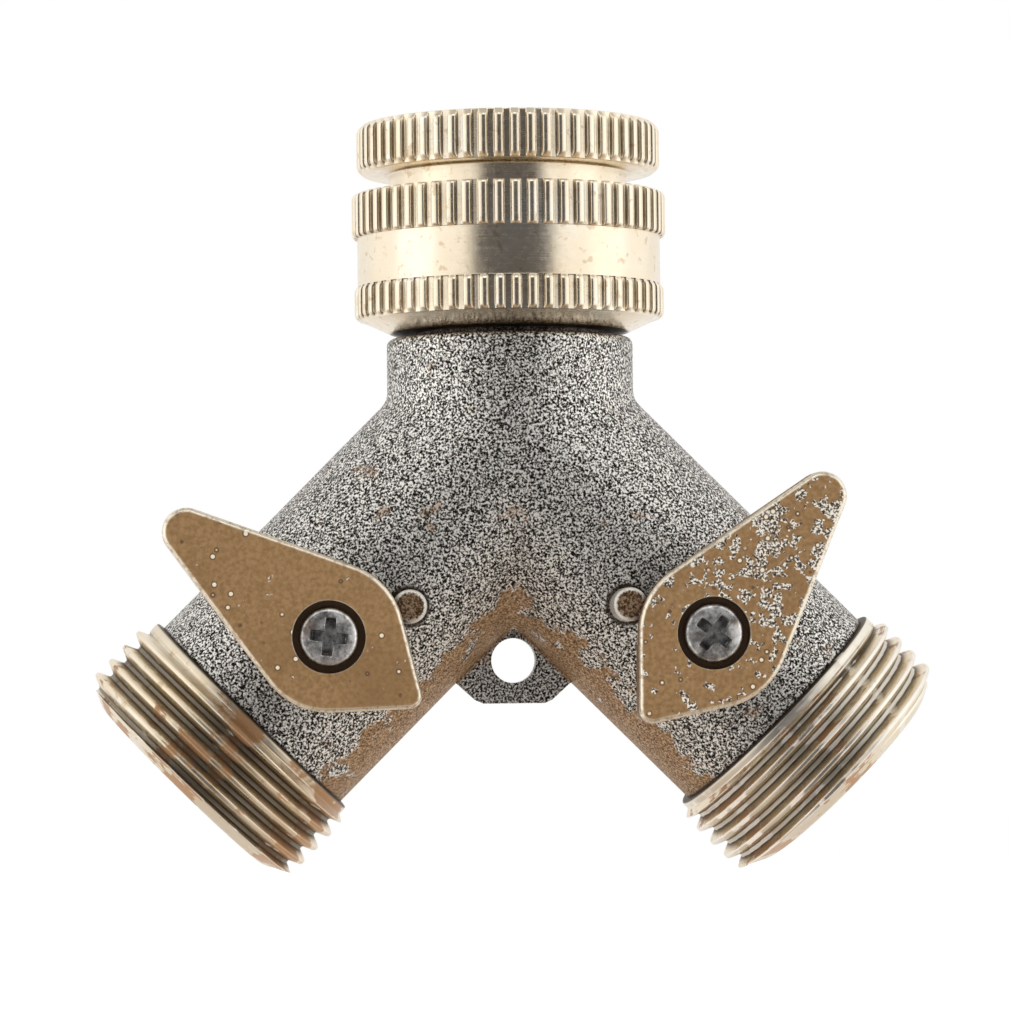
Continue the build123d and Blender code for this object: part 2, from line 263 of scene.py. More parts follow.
    def set(self, color=None, rough=None, metal=None, normal=None, **extra):
        b = self.bsdf.inputs
        for key, v in (("Base Color", color), ("Roughness", rough), ("Metallic", metal), ("Normal", normal)):
            if v is None:
                continue
            if isinstance(v, tuple):
                b[key].default_value = (v[0], v[1], v[2], 1)
            elif isinstance(v, (int, float)):
                b[key].default_value = v
            else:
                self.link(v, b[key])
        for k, v in extra.items():
            b[k.replace("_", " ")].default_value = v
        return self.mat


def axial(g, origin, axis):
    """(distance along an axis, distance from it, angle about it), in millimetres and radians."""
    w = Vector(axis).normalized()
    ref = Vector((0, -1, 0)) if abs(w.y) < 0.9 else Vector((1, 0, 0))
    e1 = (ref - w * ref.dot(w)).normalized()
    e2 = w.cross(e1)
    rel = g.nt.nodes.new("ShaderNodeVectorMath")
    rel.operation = "SUBTRACT"
    g.link(g.obj, rel.inputs[0])
    rel.inputs[1].default_value = Vector(origin) * MM
    outs = []
    for v in (w, e1, e2):
        d = g.nt.nodes.new("ShaderNodeVectorMath")
        d.operation = "DOT_PRODUCT"
        g.link(rel.outputs[0], d.inputs[0])
        d.inputs[1].default_value = v / MM
        outs.append(d.outputs["Value"])
    t, x, y = outs
    r = g.math("SQRT", g.math("ADD", g.math("MULTIPLY", x, x), g.math("MULTIPLY", y, y)))
    ang = g.math("ARCTAN2", y, x)
    return t, r, ang, x, y


def turned_lines(g, origin, axis):
    """Fine lathe lines: noise that runs along and across the surface but hardly round it."""
    t, r, ang, x, y = axial(g, origin, axis)
    nx = g.math("MULTIPLY", x, 0.10)
    ny = g.math("MULTIPLY", y, 0.10)
    vec = g.comb(nx, ny, g.math("ADD", g.math("MULTIPLY", t, 9.0), g.math("MULTIPLY", r, 7.0)))
    return g.noise(vec, 1.0, 3.0, 0.6), t, r, ang


def make_body_brass():
    g = Graph("body_brass")
    grain = g.noise(g.obj, 4700, 1.0, 0.5, 0.4)
    fine = g.noise(g.obj, 8200, 1.0, 0.5)
    pits = g.voronoi(g.obj, 3000)
    patch = g.noise(g.obj, 330, 3.0, 0.62)
    broad = g.noise(g.obj, 42, 2.0, 0.5)
    x, y, z = g.sep(g.obj)
    # sand-blasted speckle: dark pits, pale struck points
    sp = g.math("ADD", g.math("MULTIPLY", grain, 0.74), g.math("MULTIPLY", fine, 0.26))
    speck = g.ramp(sp, [(0.405, (0.010, 0.009, 0.008)), (0.470, (0.13, 0.122, 0.110)),
                        (0.520, (0.52, 0.500, 0.465)), (0.580, (1.0, 0.985, 0.95))])
    # painted shade: brown darkening along the underside of each leg, on its inner side, and in the crotch
    q = g.math("MULTIPLY", g.math("ADD", g.math("ADD", g.math("ABSOLUTE", x), z), RISE * MM), C45 / MM)
    beyond = g.mapr(q, -11.95, -11.70, 0.0, 1.0)
    q = g.math("ADD", q, g.math("MULTIPLY", g.math("SUBTRACT", patch, 0.5), 10.0))
    underside_shade = g.math("MULTIPLY", g.mapr(q, -9.7, -8.7, 1.0, 0.0, True), beyond)
    flecks = g.mapr(g.math("ADD", g.math("MULTIPLY", patch, 0.7), g.math("MULTIPLY", broad, 0.3)), 0.585, 0.65, 0.0, 0.6, True)
    warm = g.ramp(sp, [(0.36, (0.085, 0.042, 0.016)), (0.5, (0.255, 0.148, 0.070)), (0.64, (0.47, 0.31, 0.175))])
    # the mask joins the painted underside shade with the random brown flecks
    shade_and_stain_mask = g.math("MAXIMUM", underside_shade, flecks)
    col = g.mix(speck, warm, shade_and_stain_mask)
    # the stop pegs beside each lever: brown tops, a painted highlight on the corner, painted shade round the foot
    px = g.math("SUBTRACT", g.math("ABSOLUTE", x), 10.047 * MM)
    pz = g.math("ADD", z, 45.764 * MM)
    away = g.math("MULTIPLY", g.math("SQRT", g.math("ADD", g.math("MULTIPLY", px, px), g.math("MULTIPLY", pz, pz))), 1.0 / MM)
    front = g.mapr(y, -6.0 * MM, -8.0 * MM, 0.0, 1.0)
    col = g.mix(col, warm, g.math("MULTIPLY", front, g.mapr(away, 1.10, 1.30, 0.9, 0.0)))
    # painted highlight: pale ring on the peg's corner
    corner = g.math("MULTIPLY", g.mapr(away, 1.20, 1.34, 0.0, 0.9), g.mapr(away, 1.52, 1.60, 1.0, 0.0))
    col = g.mix(col, (0.92, 0.88, 0.80), g.math("MULTIPLY", front, corner))
    # painted shade: dark ring round the peg's foot
    foot = g.math("MULTIPLY", g.mapr(away, 1.54, 1.62, 0.0, 0.9), g.mapr(away, 1.80, 2.15, 1.0, 0.0, True))
    col = g.mix(col, (0.03, 0.02, 0.012), g.math("MULTIPLY", front, foot))
    # dirt packed against the outlet's collar
    leg = g.math("MULTIPLY", g.math("SUBTRACT", g.math("SUBTRACT", g.math("ABSOLUTE", x), z), RISE * MM), C45 / MM)
    col = g.mix(col, (0.022, 0.016, 0.011), g.mapr(leg, 34.72, 34.90, 0.0, 0.92))
    # painted shade: darker brown in corners and creases, from the occlusion node
    ao = g.ao(0.0022, 6)
    col = g.mix(col, (0.075, 0.038, 0.014), g.mapr(ao, 0.30, 0.70, 0.75, 0.0, True))
    metal = g.mapr(shade_and_stain_mask, 0.0, 1.0, 0.88, 0.40)
    rough = g.mapr(grain, 0.35, 0.65, 0.58, 0.46)
    rough = g.math("ADD", rough, g.mapr(broad, 0.3, 0.7, -0.04, 0.05))
    h = g.math("ADD", sp, g.math("MULTIPLY", pits, 0.35))
    n1 = g.bump(h, 0.70, 0.00012)
    n2 = g.bump(patch, 0.30, 0.0001, n1)
    return g.set(col, rough, metal, n2)


def make_polished(name, origin, axis, tint=1.0, tarnish_and_reflection_amount=0.0, roots=None, hand=1):
    """Bright turned brass, with painted shade darkening the grooves and a pale painted highlight on the edges."""
    g = Graph(name)
    lines, t, r, ang = turned_lines(g, origin, axis)
    cloud = g.noise(g.obj, 160, 3.0, 0.6)
    fine = g.noise(g.obj, 1900, 2.0, 0.5)
    spots = g.noise(g.obj, 900, 2.0, 0.55)
    base = g.ramp(cloud, [(0.30, (0.93 * tint, 0.80 * tint, 0.60 * tint)),
                          (0.52, (0.965 * tint, 0.855 * tint, 0.675 * tint)),
                          (0.72, (0.985 * tint, 0.91 * tint, 0.77 * tint))])
    base = g.mix(base, (0.52, 0.34, 0.17), g.mapr(spots, 0.60, 0.72, 0.0, 0.45, True))
    metal = 1.0
    if tarnish_and_reflection_amount:
        # random tarnish that follows the turns
        tarnish_and_reflection = g.math("ADD", g.math("MULTIPLY", g.noise(g.obj, 260, 3.0, 0.6), 0.75), g.math("MULTIPLY", lines, 0.25))
        # it is made heavier on the lever side, facing the camera, and low down on the inner side; this build-up is a
        # painted reflection
        turn = g.math("MULTIPLY", ang, hand)
        for centre, wide, more in ((-3.0, 26.0, 0.095), (58.0, 24.0, 0.12)):
            off = g.math("ABSOLUTE", g.math("SUBTRACT", turn, math.radians(centre)))
            tarnish_and_reflection = g.math("ADD", tarnish_and_reflection, g.mapr(off, 0.0, math.radians(wide), more, 0.0, True))
        tarnish_and_reflection_mask = g.mapr(tarnish_and_reflection, 0.572, 0.606, 0.0, tarnish_and_reflection_amount, True)
        base = g.mix(base, (0.36, 0.172, 0.055), tarnish_and_reflection_mask)
        metal = g.mapr(tarnish_and_reflection_mask, 0.0, 1.0, 1.0, 0.35)
    # painted shade: darker in grooves and recesses, from the occlusion node
    ao = g.ao(0.0011, 6)
    shade_and_joint_line = g.mapr(ao, 0.32, 0.74, 0.95, 0.0, True)
    if roots:
        # painted shade: black at the bottom of each turn of the thread
        low, high, end = roots
        root = g.math("MULTIPLY", g.mapr(r, low, high, 0.72, 0.0, True), g.mapr(r, 11.90, 12.0, 0.0, 1.0))
        root = g.math("MULTIPLY", root, g.mapr(t, end, end + 0.2, 1.0, 0.0))
        shade_and_joint_line = g.math("MAXIMUM", shade_and_joint_line, root)
        # dark line where the collar meets the casting
        joint = g.math("MULTIPLY", g.mapr(t, 35.06, 35.22, 0.92, 0.0), g.mapr(r, 11.4, 11.6, 0.0, 1.0))
        shade_and_joint_line = g.math("MAXIMUM", shade_and_joint_line, joint)
    base = g.mix(base, (0.055, 0.036, 0.022), shade_and_joint_line)
    # painted highlight: pale colour on convex edges, from pointiness
    edge = g.mapr(g.pointiness(), 0.52, 0.59, 0.0, 0.75, True)
    base = g.mix(base, (1.0, 0.96, 0.87), edge)
    dull = 0.13 if roots else 0.02
    rough = g.math("ADD", g.mapr(lines, 0.3, 0.7, 0.13 + dull, 0.24 + dull), g.mapr(fine, 0.35, 0.65, -0.02, 0.05))
    rough = g.math("ADD", rough, g.math("MULTIPLY", shade_and_joint_line, 0.22))
    n1 = g.bump(lines, 0.16, 0.00003)
    n2 = g.bump(fine, 0.10, 0.00004, n1)
    return g.set(base, rough, metal, n2)


def make_lever_brass(side):
    g = Graph("lever_brass_" + side)
    grain = g.noise(g.obj, 2500, 2.0, 0.55)
    broad = g.noise(g.obj, 130, 3.0, 0.55)
    x, y, z = g.sep(g.obj)
    depth = g.math("MULTIPLY", y, -1.0 / MM)
    base = g.ramp(grain, [(0.34, (0.275, 0.158, 0.064)), (0.5, (0.335, 0.195, 0.082)), (0.66, (0.395, 0.237, 0.106))])
    base = g.mix(base, (0.245, 0.135, 0.052), g.mapr(broad, 0.48, 0.78, 0.0, 0.55, True))
    speck = g.ramp(g.noise(g.obj, 4700, 1.0, 0.5, 0.4),
                   [(0.40, (0.03, 0.022, 0.016)), (0.49, (0.26, 0.22, 0.18)), (0.58, (0.98, 0.94, 0.84))])
    patch = g.noise(g.obj, 820, 2.0, 0.60)
    if side == "right":
        # this lever has lost more of its skin, mostly towards the tip
        tx, tz = math.cos(math.radians(50.8)), math.sin(math.radians(50.8))
        out = g.math("ADD", g.math("MULTIPLY", x, tx / MM), g.math("MULTIPLY", z, tz / MM))
        out = g.math("SUBTRACT", out, 17.47 * tx - 48.47 * tz)
        worn = g.mapr(g.math("ADD", patch, g.mapr(out, -4.0, 7.0, -0.02, 0.105, True)), 0.590, 0.620, 0.0, 0.9, True)
    else:
        worn = g.mapr(patch, 0.70, 0.73, 0.0, 0.7, True)
    base = g.mix(base, speck, worn)
    # small bright nicks, scattered
    gate = g.noise(g.obj, 260, 1.0, 0.5)
    cell = g.voronoi(g.obj, 640)
    nick = g.mapr(cell, 0.105, 0.15, 1.0, 0.0, True)
    nick = g.math("MULTIPLY", nick, g.mapr(gate, 0.42, 0.47, 0.0, 0.95, True))
    base = g.mix(base, (1.0, 0.90, 0.70), nick)
    ring = g.mapr(cell, 0.17, 0.22, 1.0, 0.0, True)
    ring = g.math("MULTIPLY", g.math("SUBTRACT", ring, nick, clamp=True), g.mapr(gate, 0.42, 0.47, 0.0, 0.8, True))
    base = g.mix(base, (0.10, 0.055, 0.025), ring)
    # rounded rim: smoother and more metallic, with a painted highlight in its colour; side walls get painted shade
    rim = g.math("MULTIPLY", g.mapr(depth, 17.47, 17.41, 0.0, 1.0), g.mapr(depth, 17.02, 17.12, 0.0, 1.0))
    wall = g.mapr(depth, 17.12, 17.0, 0.0, 1.0, True)
    base = g.mix(base, (0.17, 0.09, 0.035), wall)
    base = g.mix(base, (0.93, 0.85, 0.70), g.math("MULTIPLY", rim, g.mapr(grain, 0.36, 0.52, 0.55, 1.0)))
    # painted shade: darker in recesses, from the occlusion node
    ao = g.ao(0.0009, 6)
    base = g.mix(base, (0.035, 0.022, 0.012), g.mapr(ao, 0.25, 0.70, 0.85, 0.0, True))
    rough = g.math("ADD", g.mapr(grain, 0.35, 0.65, 0.60, 0.50), g.math("MULTIPLY", rim, -0.22))
    n1 = g.bump(grain, 0.30, 0.00005)
    n2 = g.bump(patch, 0.22, 0.00006, n1)
    return g.set(base, rough, g.math("ADD", 0.30, g.math("MULTIPLY", rim, 0.6)), n2)


def make_steel():
    g = Graph("screw_steel")
    grain = g.noise(g.obj, 3000, 2.0, 0.5)
    cloud = g.noise(g.obj, 1100, 3.0, 0.6)
    base = g.ramp(cloud, [(0.34, (0.22, 0.215, 0.21)), (0.48, (0.55, 0.545, 0.535)), (0.62, (0.92, 0.91, 0.89))])
    base = g.mix(base, (0.34, 0.21, 0.16), g.mapr(g.noise(g.obj, 500, 2.0, 0.5), 0.56, 0.66, 0.0, 0.5, True))
    # painted shade: darker in recesses from the occlusion node, and darker lower down the screw, which darkens the
    # floor of the cross recess
    ao = g.ao(0.0008, 6)
    dark = g.mapr(ao, 0.34, 0.84, 0.95, 0.0, True)
    x, y, z = g.sep(g.obj)
    dark = g.math("MAXIMUM", dark, g.mapr(g.math("MULTIPLY", y, -1.0 / MM), 17.25, 16.75, 0.0, 0.36, True))
    base = g.mix(base, (0.016, 0.014, 0.013), dark)
    rough = g.mapr(grain, 0.35, 0.65, 0.26, 0.42)
    n1 = g.bump(grain, 0.35, 0.00005)
    return g.set(base, rough, 0.95, n1)


def make_rubber(name, tone=0.025):
    g = Graph(name)
    grain = g.noise(g.obj, 2400, 3.0, 0.6)
    dust = g.noise(g.obj, 300, 3.0, 0.6)
    base = g.ramp(dust, [(0.35, (tone, tone, tone)), (0.62, (tone * 1.7, tone * 1.7, tone * 1.65)), (0.8, (tone * 3.2, tone * 3.1, tone * 2.9))])
    return g.set(base, g.mapr(grain, 0.3, 0.7, 0.55, 0.75), 0.0, g.bump(grain, 0.4, 0.00006))


def make_plastic():
    g = Graph("seat_plastic")
    grain = g.noise(g.obj, 1500, 2.0, 0.5)
    cloud = g.noise(g.obj, 220, 2.0, 0.5)
    base = g.ramp(cloud, [(0.3, (0.78, 0.77, 0.73)), (0.7, (0.89, 0.885, 0.86))])
    return g.set(base, g.mapr(grain, 0.3, 0.7, 0.32, 0.45), 0.0, g.bump(grain, 0.2, 0.00004))


def make_chrome():
    g = Graph("ball_chrome")
    grain = g.noise(g.obj, 900, 3.0, 0.6)
    cloud = g.noise(g.obj, 140, 2.0, 0.5)
    base = g.ramp(cloud, [(0.3, (0.70, 0.70, 0.70)), (0.7, (0.84, 0.84, 0.83))])
    return g.set(base, g.mapr(grain, 0.3, 0.7, 0.06, 0.16), 1.0, g.bump(grain, 0.08, 0.00003))


def make_ring_steel():
    g = Graph("ring_steel")
    grain = g.noise(g.obj, 1600, 2.0, 0.5)
    cloud = g.noise(g.obj, 300, 2.0, 0.5)
    base = g.ramp(cloud, [(0.3, (0.32, 0.32, 0.33)), (0.7, (0.52, 0.52, 0.53))])
    return g.set(base, g.mapr(grain, 0.3, 0.7, 0.28, 0.42), 1.0, g.bump(grain, 0.15, 0.00004))


O = (0, 0, -RISE)
M_body = make_body_brass()
M_nut = make_polished("nut_brass", O, (0, 0, 1))
M_bush = make_polished("bush_brass", O, (0, 0, 1), 0.99)
M_out = {-1: make_polished("outlet_brass_left", O, (-C45, 0, -C45), 0.98, 0.9, (12.16, 12.50, 43.2), -1),
         1: make_polished("outlet_brass_right", O, (C45, 0, -C45), 0.98, 0.9, (12.16, 12.50, 43.2), 1)}
M_lever = {-1: make_lever_brass("left"), 1: make_lever_brass("right")}
M_steel = make_steel()
M_seal = make_rubber("seal_rubber")
M_washer = make_rubber("washer_rubber", 0.03)
M_plastic = make_plastic()
M_chrome = make_chrome()
M_ring = make_ring_steel()
M_stem = make_polished("stem_brass", (-17.47, 0, -48.47), (0, -1, 0), 0.9)


def paint(node, mat):
    me = nodes[node].data
    me.materials.clear()
    me.materials.append(mat)


paint("valve_body", M_body)
for h in ("left", "right"):
    paint(h + "_ball", M_chrome)
    paint(h + "_stem", M_stem)
    paint(h + "_stem_orings", M_seal)
    paint(h + "_inner_seat", M_plastic)
    paint(h + "_outer_seat", M_plastic)
    paint(h + "_thrust_washer", M_plastic)
paint("inlet_washer", M_washer)
paint("swivel_washer", M_seal)
paint("swivel_snap_ring", M_ring)


# ------------------------------------------------------------------ outlets
def outlet(side, name, node):
    """Threaded outlet: joint collar, right-handed rounded thread that runs out, chamfered lead, bore."""
    at = frame_of(O, (side * C45, 0, -C45), (0, -1, 0))
    major, minor = 13.21, 12.06
    turns = 2 * math.pi
    start = 36.55 if side < 0 else 36.55 + PITCH / 2

    def env(t):
        if t < 36.5:
            return lerp(12.42, major, soft(ramp(t, 35.75, 36.5)))
        if t > 43.15:
            return lerp(12.95, 10.95, ramp(t, 43.15, 44.13))
        return major

    def radius(t, r, tag, a):
        if tag != "thread":
            return r
        cut = lerp(minor, major, tooth((t - start) / PITCH - a / turns))
        full = soft(ramp(t, 35.6, 36.5))
        e = env(t)
        return min(e, lerp(e, cut, full))

    loop = [(29.35, 8.1, None), (29.35, 9.4, None), (29.5, 9.53, None), (34.94, 9.53, None), (35.0, 9.55, None)]
    loop += [(35.0, 12.15, None)] + arc(35.18, 12.22, 0.18, 180, 90, 4)
    loop += [(35.3 + 0.055 * i, 12.42, "thread") for i in range(161)]
    loop += [(44.16, 10.82, None), (44.22, 10.72, None), (44.25, 10.58, None)]
    loop += span(44.25, 10.4, 44.25, 7.0, 6)
    loop += arc(43.95, 6.72, 0.3, 60, 180 + 90, 1)[:0]
    loop += [(44.22, 6.86, None), (44.12, 6.72, None), (43.85, 6.45, None), (43.7, 6.36, None), (43.5, 6.32, None)]
    loop += span(43.0, 6.32, 31.8, 6.32, 10)
    loop += [(31.6, 6.36, None), (31.52, 6.5, None), (31.5, 6.7, None), (31.5, 8.06, None)]
    angles = [turns * k / 224 for k in range(224)]
    v, f = lathe(at, loop, angles, radius)
    return new_piece(name, v, f, "body", [node], M_out[side], sharp=50)


outlet(-1, "left_outlet_thread", "left_outlet_nipple")
outlet(1, "right_outlet_thread", "right_outlet_nipple")


# ------------------------------------------------------------------ knurled pieces
TEETH = 60


def knurl_angles():
    """Columns at each tooth's corners, so every groove wall is a clean edge."""
    step = 2 * math.pi / TEETH
    fr = [0.0, 0.13, 0.215, 0.245, 0.265, 0.285, 0.305, 0.33, 0.42, 0.5,
          0.58, 0.67, 0.695, 0.715, 0.735, 0.755, 0.785, 0.87]
    out = []
    for i in range(TEETH):
        for f in fr:
            out.append((i + f) * step)
    return out


def tooth_mask(a):
    """1 on a tooth's flat top, 0 on the groove floor, with rounded corners."""
    x = (a / (2 * math.pi / TEETH)) % 1.0
    x = min(x, 1 - x)
    return soft(1 - ramp(x, 0.235, 0.315)) * 1.0


def hashed(i, k):
    x = math.sin(i * 12.9898 + k * 78.233) * 43758.5453
    return x - math.floor(x)


def knurled(t, r, tag, a):
    top, floor = tag
    i = int(a / (2 * math.pi / TEETH) + 0.5) % TEETH
    m = tooth_mask(a)
    wob = (hashed(i, 1) - 0.5) * 0.03
    across = (a / (2 * math.pi / TEETH) + 0.5) % 1.0 - 0.5
    crown = 0.10 * min(1.0, abs(across) / 0.24) ** 2          # the tops are slightly rounded
    return max(min(floor, top), lerp(floor, top - crown + min(0.0, wob), m)) if top > floor else top


def nut_radius(t, r, tag, a):
    return knurled(t, r, tag, a)


def band(points, floor):
    """Rows of a knurled band: (height, outer radius) with the groove floor's radius."""
    return [(t, r, (r, floor)) for t, r in points]


def make_nut():
    at = frame_of(O, (0, 0, 1), (1, 0, 0))
    turns = 2 * math.pi
    loop = []
    # lip underneath
    loop += [(11.27, 8.88, None), (11.2, 8.97, None)] + span(11.2, 9.4, 11.2, 11.2, 3)
    loop += [(11.22, 11.35, None), (11.3, 11.52, None)]
    loop += span(11.5, 11.93, 12.3, 13.68, 6)
    loop += [(12.38, 13.84, None), (12.43, 13.93, None), (12.46, 14.02, None), (12.47, 14.1, None)]
    # lower band
    low_floor = 14.22
    loop += band([(12.475, 14.16), (12.48, 14.26), (12.53, 14.38), (12.62, 14.5), (12.73, 14.6), (12.86, 14.67),
                  (13.0, 14.69), (13.3, 14.7), (13.8, 14.7), (14.4, 14.7), (14.9, 14.7), (15.15, 14.69),
                  (15.3, 14.66), (15.42, 14.6), (15.52, 14.53), (15.6, 14.46)], low_floor)
    loop += [(15.64, 14.4, None), (15.68, 14.385, None)]
    # plain band
    loop += span(15.8, 14.385, 20.1, 14.385, 12)
    loop += [(20.16, 14.385, None), (20.2, 14.39, None), (20.22, 14.42, None)]
    top_floor = 14.36
    loop += band([(20.225, 14.5), (20.24, 14.6), (20.28, 14.7), (20.36, 14.8), (20.48, 14.87), (20.62, 14.895),
                  (20.9, 14.9), (21.6, 14.9), (22.4, 14.9), (23.2, 14.9), (23.75, 14.9), (24.0, 14.893),
                  (24.14, 14.86), (24.25, 14.8), (24.33, 14.71), (24.375, 14.6), (24.385, 14.5)], top_floor)
    loop += [(24.39, 14.36, None), (24.4, 14.3, None)]
    loop += span(24.4, 14.15, 24.4, 13.62, 3)
    loop += [(24.37, 13.52, None), (24.3, 13.42, None), (24.1, 13.27, None)]
    # female thread
    loop += [(24.0 - 0.07 * i, 13.24, "thread") for i in range(88)]
    loop += [(17.8, 13.24, None), (17.4, 12.3, None), (17.2, 12.25, None)]
    loop += span(16.8, 12.25, 13.4, 12.25, 6) + [(13.25, 12.2, None), (13.2, 12.1, None)]
    loop += span(13.2, 11.8, 13.2, 9.1, 5) + [(13.17, 8.94, None), (13.08, 8.88, None), (12.9, 8.86, None)]
    loop += span(12.7, 8.86, 11.6, 8.86, 4) + [(11.4, 8.86, None)]

    def radius(t, r, tag, a):
        if tag == "thread":
            ph = (t - 18.6) / PITCH - a / turns
            cut = lerp(12.12, 13.24, tooth(ph))
            k = soft(ramp(t, 17.9, 18.3)) * soft(1 - ramp(t, 23.6, 24.0))
            return lerp(13.24, cut, k)
        return knurled(t, r, tag, a)

    v, f = lathe(at, loop, knurl_angles(), radius)
    return new_piece("swivel_nut_knurled", v, f, "nut", ["swivel_nut"], M_nut, sharp=48)


def make_bush():
    at = frame_of(O, (0, 0, 1), (1, 0, 0))
    turns = 2 * math.pi
    loop = [(17.5, 6.2, None)] + span(17.5, 6.5, 17.5, 11.4, 5) + [(17.6, 11.6, None)]
    loop += [(17.7 + 0.07 * i, 12.0, "male") for i in range(87)]
    loop += [(23.8, 11.98, None), (24.2, 11.4, None), (24.32, 11.3, None)]
    loop += span(24.5, 11.29, 26.15, 11.29, 7)
    loop += [(26.27, 11.32, None), (26.35, 11.4, None), (26.39, 11.52, None)]
    loop += span(26.4, 11.8, 26.4, 13.55, 5)
    floor = 13.9
    loop += band([(26.405, 13.72), (26.42, 13.84), (26.47, 13.95), (26.58, 14.07), (26.72, 14.2), (26.85, 14.3),
                  (26.97, 14.36), (27.12, 14.39), (27.4, 14.4), (28.1, 14.4), (28.9, 14.4), (29.7, 14.4),
                  (30.2, 14.395), (30.36, 14.37), (30.48, 14.31), (30.6, 14.22), (30.73, 14.1), (30.85, 13.98),
                  (30.94, 13.87), (30.985, 13.76)], floor)
    loop += [(31.0, 13.62, None)]
    loop += span(31.0, 13.4, 31.0, 11.25, 6)
    loop += [(30.98, 11.1, None), (30.9, 10.98, None)]
    loop += [(30.84 - 0.06 * i, 10.95, "female") for i in range(156)]
    loop += [(21.4, 10.46, None), (20.4, 10.46, None), (19.62, 10.46, None), (19.52, 10.4, None), (19.5, 10.25, None)]
    loop += span(19.5, 10.0, 19.5, 6.3, 4) + [(19.46, 6.08, None), (19.38, 6.02, None)]
    loop += span(19.2, 6.01, 17.8, 6.01, 3) + [(17.62, 6.03, None), (17.54, 6.1, None)]

    def radius(t, r, tag, a):
        if tag == "male":
            ph = (t - 18.6) / PITCH - a / turns
            cut = lerp(12.0, 13.12, tooth(ph))
            k = soft(ramp(t, 17.75, 18.3)) * soft(1 - ramp(t, 23.2, 23.75))
            return lerp(11.95, cut, k)
        if tag == "female":
            ph = (t - 30.1) / PITCH - a / turns
            cut = lerp(10.46, 9.33, tooth(ph))
            lead = 10.46 + 0.5 * ramp(t, 30.0, 30.9)
            k = soft(ramp(t, 21.6, 22.3))
            cut = lerp(10.46, cut, k)
            cone = 9.33 + (t - 29.45) * 1.15          # countersink at the mouth
            return max(cut, min(lead, cone))
        return knurled(t, r, tag, a)

    v, f = lathe(at, loop, knurl_angles(), radius)
    return new_piece("inlet_bush_knurled", v, f, "nut", ["inlet_adapter"], M_bush, sharp=48)


make_nut()
make_bush()


# ------------------------------------------------------------------ levers
def hull_radius(circles, a):
    """Distance from the stem axis to the hull of circles on the long axis, along angle a."""
    ux, uy = math.cos(a), math.sin(a)
    # support function sampled finely, then the ray cut by each tangent line
    lim = 1e9
    for k in range(720):
        b = math.pi * k / 360
        h = max(cx * math.cos(b) + r for cx, r in circles)
        c = ux * math.cos(b) + uy * math.sin(b)
        if c > 1e-6:
            lim = min(lim, h / c)
    return lim


